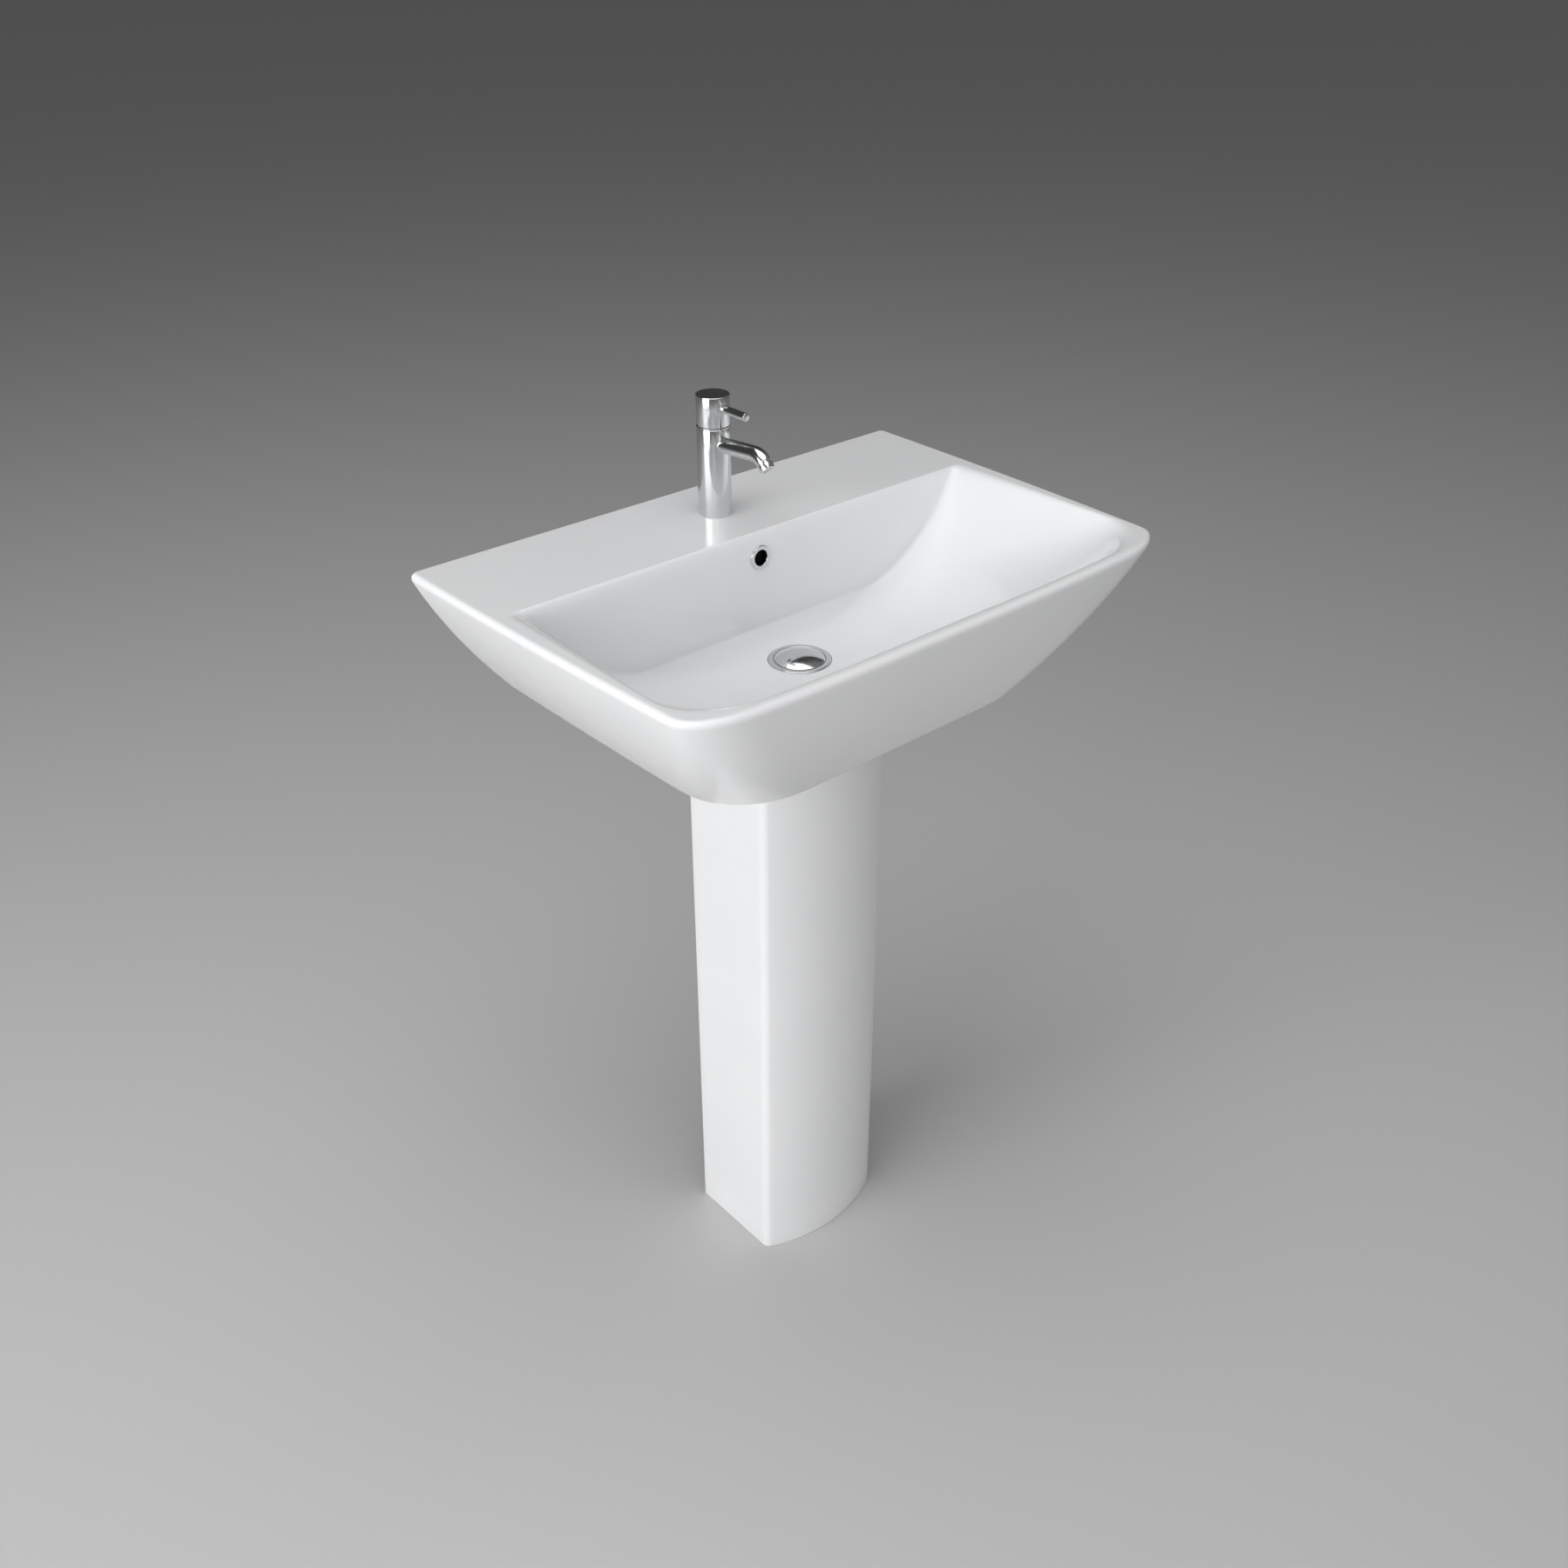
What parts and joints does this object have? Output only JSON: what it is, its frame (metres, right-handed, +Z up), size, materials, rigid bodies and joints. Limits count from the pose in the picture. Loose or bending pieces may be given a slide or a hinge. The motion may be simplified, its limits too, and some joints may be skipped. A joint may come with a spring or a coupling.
{
  "type": "pedestal sink",
  "caption": "Ceramic basin on a full pedestal with a pin-lever mixer tap, round overflow, domed click waste and bottle trap.",
  "frame": {"origin": "centre of the bounding box's base: floor level, under the middle of the basin's plan", "axes": "+Z up, -Y to the user, +Y to the wall, +X to the right as seen from behind the user's shoulder looking at the wall"},
  "size_m": [0.6072, 0.4098, 0.97],
  "materials": {
    "glaze": "glossy white glaze",
    "chrome": "polished chrome plate",
    "brass": "turned brass",
    "seal_rubber": "black rubber seal",
    "foam_gasket": "soft white gasket strip",
    "steel": "stainless steel",
    "ceramic_disc": "ground alumina ceramic",
    "cartridge_plastic": "moulded acetal",
    "trap_plastic": "moulded white polypropylene",
    "nylon": "white nylon",
    "screw_steel": "blackened steel"
  },
  "bodies": {
    "sink": {"basin": "glaze", "pedestal": "glaze", "pedestal_gasket": "foam_gasket", "wall_sleeves": "nylon", "overflow_ring": "chrome", "tap_body": "chrome", "tap_base_seal": "seal_rubber", "tap_trim_ring": "chrome", "tap_spout": "chrome", "aerator_housing": "chrome", "aerator_insert": "cartridge_plastic", "aerator_washer": "seal_rubber", "tap_fixing_stud": "brass", "tap_clamp_gasket": "seal_rubber", "tap_clamp_washer": "steel", "tap_fixing_nut": "brass", "cartridge_base": "cartridge_plastic", "port_seals": "seal_rubber", "fixed_disc": "ceramic_disc", "cartridge_housing": "cartridge_plastic", "cartridge_nut": "brass", "waste_body": "chrome", "waste_top_seal": "seal_rubber", "waste_lower_seal": "seal_rubber", "waste_backnut": "brass", "plug_guide": "nylon", "trap_inlet_nut": "trap_plastic", "trap_inlet_washer": "seal_rubber", "trap_dip_tube": "trap_plastic", "trap_body": "trap_plastic", "trap_cup": "trap_plastic", "trap_cup_seal": "seal_rubber", "trap_outlet_nut": "trap_plastic", "trap_outlet_washer": "seal_rubber", "outlet_pipe": "chrome", "wall_rosette": "chrome"},
    "turning": {"cartridge_driver": "brass", "stem_pin": "steel"},
    "disc": {"moving_disc": "ceramic_disc"},
    "lever": {"cartridge_stem": "brass", "handle_cap": "chrome", "lever_pin": "chrome", "grub_screw": "screw_steel"},
    "plug": {"waste_plug": "chrome", "plug_seal": "seal_rubber"}
  },
  "joints": [
    {"name": "temperature_turn", "type": "hinge", "parent": "sink", "child": "turning", "pos_m": [0, 0.13589, 0.934], "axis": [0, 0, 1], "range_deg": [-45, 45]},
    {"name": "flow_lift", "type": "hinge", "parent": "turning", "child": "lever", "pos_m": [0, 0.13589, 0.934], "axis": [-1, 0, 0], "range_deg": [0, 20]},
    {"name": "disc_slide", "type": "slide", "parent": "turning", "child": "disc", "axis": [0, -1, 0], "range_m": [0, 0.0041]},
    {"name": "plug_lift", "type": "slide", "parent": "sink", "child": "plug", "axis": [0, 0, 1], "range_m": [0, 0.009]}
  ],
  "couplings": [
    {"joint": "disc_slide", "follows": "flow_lift", "m_per_rad": 0.0115}
  ]
}
